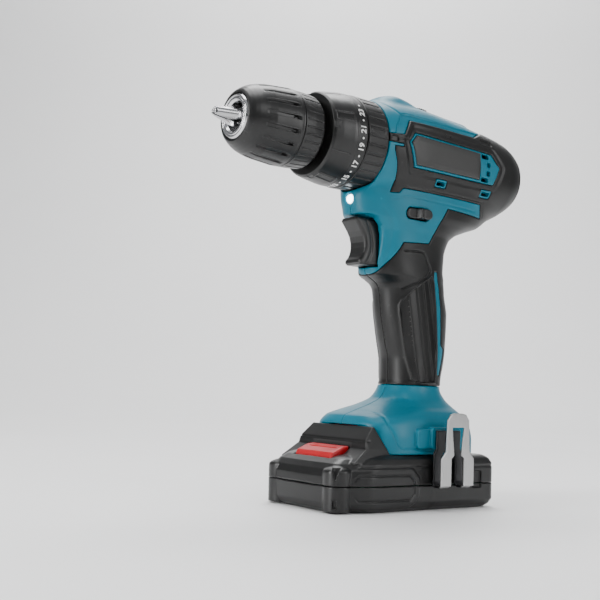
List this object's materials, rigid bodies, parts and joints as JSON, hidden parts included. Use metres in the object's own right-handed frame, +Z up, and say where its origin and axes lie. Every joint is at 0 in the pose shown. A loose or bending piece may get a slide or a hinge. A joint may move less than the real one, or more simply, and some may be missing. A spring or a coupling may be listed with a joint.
{
  "type": "cordless drill",
  "caption": "Pistol-grip cordless drill driver with a keyless chuck, torque and mode rings, soft grips, belt clip and slide-on battery pack.",
  "frame": {"origin": "centre of the battery pack's flat underside", "axes": "-X towards the chuck's nose, +Y the operator's right, +Z up along the handle"},
  "size_m": [0.2194, 0.082, 0.2395],
  "materials": {
    "teal_plastic": "moulded nylon, light satin",
    "soft_grip": "soft overmould, fine matt texture",
    "black_plastic": "moulded nylon, satin",
    "red_plastic": "moulded, satin",
    "clear_lens": "clear moulded lens",
    "polished_steel": "polished",
    "brushed_steel": "brushed",
    "spring_steel": "drawn wire",
    "screw_steel": "black-plated",
    "grey_nylon": "glass-filled nylon",
    "copper_winding": "lacquered windings on a laminated core",
    "circuit_board": "solder mask",
    "cell_wrap": "shrink sleeve"
  },
  "bodies": {
    "drill": {"housing_left": "teal_plastic", "housing_right": "teal_plastic", "rubber_grip_left": "soft_grip", "rubber_grip_right": "soft_grip", "side_panel_left": "black_plastic", "side_panel_right": "black_plastic", "led_lens": "clear_lens", "housing_screw_1": "screw_steel", "housing_screw_2": "screw_steel", "housing_screw_3": "screw_steel", "housing_screw_4": "screw_steel", "housing_screw_5": "screw_steel", "gear_case": "grey_nylon", "spindle_bearing": "brushed_steel", "ring_gear_1": "brushed_steel", "ring_gear_2": "brushed_steel", "clutch_plate": "brushed_steel", "clutch_spring": "spring_steel", "motor_plate": "brushed_steel", "motor_can": "brushed_steel", "motor_end_cap": "black_plastic", "switch_body": "black_plastic", "terminal_block": "black_plastic", "belt_clip": "brushed_steel", "clip_screw": "screw_steel"},
    "spindle": {"spindle": "brushed_steel", "chuck_body": "polished_steel", "chuck_rear_sleeve": "black_plastic", "chuck_screw": "screw_steel"},
    "chuck_sleeve": {"chuck_sleeve": "black_plastic", "chuck_nut": "brushed_steel"},
    "jaw_1": {"jaw_1": "polished_steel"},
    "jaw_2": {"jaw_2": "polished_steel"},
    "jaw_3": {"jaw_3": "polished_steel"},
    "torque_ring": {"torque_ring": "black_plastic"},
    "mode_ring": {"mode_ring": "black_plastic"},
    "planet_2_a": {"planet_2_a": "brushed_steel"},
    "planet_2_b": {"planet_2_b": "brushed_steel"},
    "planet_2_c": {"planet_2_c": "brushed_steel"},
    "carrier_1": {"carrier_1": "brushed_steel"},
    "planet_1_a": {"planet_1_a": "brushed_steel"},
    "planet_1_b": {"planet_1_b": "brushed_steel"},
    "planet_1_c": {"planet_1_c": "brushed_steel"},
    "rotor": {"rotor": "copper_winding", "motor_pinion": "brushed_steel", "motor_fan": "black_plastic"},
    "trigger": {"trigger": "black_plastic"},
    "direction_lever": {"direction_lever": "black_plastic"},
    "speed_selector": {"speed_selector": "black_plastic"},
    "battery": {"battery_lower_case": "black_plastic", "battery_upper_case": "black_plastic", "battery_board": "circuit_board", "latch_spring": "spring_steel", "battery_cell_1": "cell_wrap", "battery_cell_2": "cell_wrap", "battery_cell_3": "cell_wrap", "battery_cell_4": "cell_wrap", "battery_cell_5": "cell_wrap"},
    "battery_latch": {"battery_latch": "red_plastic"}
  },
  "joints": [
    {"name": "spindle_spin", "type": "hinge", "parent": "drill", "child": "spindle", "pos_m": [0, 0, 0.2052], "axis": [1, 0, 0], "continuous": true},
    {"name": "chuck_sleeve_turn", "type": "hinge", "parent": "spindle", "child": "chuck_sleeve", "pos_m": [-0.09, 0, 0.2052], "axis": [1, 0, 0], "range_deg": [0, 3060]},
    {"name": "jaw_1_slide", "type": "slide", "parent": "spindle", "child": "jaw_1", "axis": [0.9613, -0.2756, 0], "range_m": [0, 0.0171]},
    {"name": "jaw_2_slide", "type": "slide", "parent": "spindle", "child": "jaw_2", "axis": [0.9613, 0.1378, -0.2387], "range_m": [0, 0.0171]},
    {"name": "jaw_3_slide", "type": "slide", "parent": "spindle", "child": "jaw_3", "axis": [0.9613, 0.1378, 0.2387], "range_m": [0, 0.0171]},
    {"name": "torque_ring_turn", "type": "hinge", "parent": "drill", "child": "torque_ring", "pos_m": [-0.05, 0, 0.2052], "axis": [1, 0, 0], "range_deg": [0, 300]},
    {"name": "mode_ring_turn", "type": "hinge", "parent": "drill", "child": "mode_ring", "pos_m": [-0.032, 0, 0.2052], "axis": [1, 0, 0], "range_deg": [0, 60]},
    {"name": "planet_2_a_spin", "type": "hinge", "parent": "spindle", "child": "planet_2_a", "pos_m": [-0.0125, 0.012, 0.2052], "axis": [1, 0, 0], "continuous": true},
    {"name": "planet_2_b_spin", "type": "hinge", "parent": "spindle", "child": "planet_2_b", "pos_m": [-0.0125, -0.006, 0.21559], "axis": [1, 0, 0], "continuous": true},
    {"name": "planet_2_c_spin", "type": "hinge", "parent": "spindle", "child": "planet_2_c", "pos_m": [-0.0125, -0.006, 0.19481], "axis": [1, 0, 0], "continuous": true},
    {"name": "carrier_1_spin", "type": "hinge", "parent": "drill", "child": "carrier_1", "pos_m": [-0.005, 0, 0.2052], "axis": [1, 0, 0], "continuous": true},
    {"name": "planet_1_a_spin", "type": "hinge", "parent": "carrier_1", "child": "planet_1_a", "pos_m": [0.001, 0.012, 0.2052], "axis": [1, 0, 0], "continuous": true},
    {"name": "planet_1_b_spin", "type": "hinge", "parent": "carrier_1", "child": "planet_1_b", "pos_m": [0.001, -0.006, 0.21559], "axis": [1, 0, 0], "continuous": true},
    {"name": "planet_1_c_spin", "type": "hinge", "parent": "carrier_1", "child": "planet_1_c", "pos_m": [0.001, -0.006, 0.19481], "axis": [1, 0, 0], "continuous": true},
    {"name": "rotor_spin", "type": "hinge", "parent": "drill", "child": "rotor", "pos_m": [0.03, 0, 0.2052], "axis": [1, 0, 0], "continuous": true},
    {"name": "trigger_pull", "type": "slide", "parent": "drill", "child": "trigger", "axis": [1, 0, 0], "range_m": [0, 0.0065], "stiffness_N_per_m": 1200, "springref_m": -0.003},
    {"name": "direction_push", "type": "slide", "parent": "drill", "child": "direction_lever", "axis": [0, 1, 0], "range_m": [0, 0.006]},
    {"name": "speed_slide", "type": "slide", "parent": "drill", "child": "speed_selector", "axis": [1, 0, 0], "range_m": [0, 0.007]},
    {"name": "battery_slide", "type": "slide", "parent": "drill", "child": "battery", "axis": [-1, 0, 0], "range_m": [0, 0.085]},
    {"name": "latch_press", "type": "slide", "parent": "battery", "child": "battery_latch", "axis": [0, 0, -1], "range_m": [0, 0.0035], "stiffness_N_per_m": 900, "springref_m": -0.002, "deforming": ["latch_spring"]}
  ],
  "couplings": [
    {"joint": "jaw_1_slide", "follows": "chuck_sleeve_turn", "m_per_rad": 0.00031831},
    {"joint": "jaw_2_slide", "follows": "chuck_sleeve_turn", "m_per_rad": 0.00031831},
    {"joint": "jaw_3_slide", "follows": "chuck_sleeve_turn", "m_per_rad": 0.00031831},
    {"joint": "planet_2_a_spin", "follows": "spindle_spin", "ratio": -3},
    {"joint": "planet_2_b_spin", "follows": "spindle_spin", "ratio": -3},
    {"joint": "planet_2_c_spin", "follows": "spindle_spin", "ratio": -3},
    {"joint": "carrier_1_spin", "follows": "spindle_spin", "ratio": 4},
    {"joint": "planet_1_a_spin", "follows": "spindle_spin", "ratio": -12},
    {"joint": "planet_1_b_spin", "follows": "spindle_spin", "ratio": -12},
    {"joint": "planet_1_c_spin", "follows": "spindle_spin", "ratio": -12},
    {"joint": "rotor_spin", "follows": "spindle_spin", "ratio": 16}
  ]
}
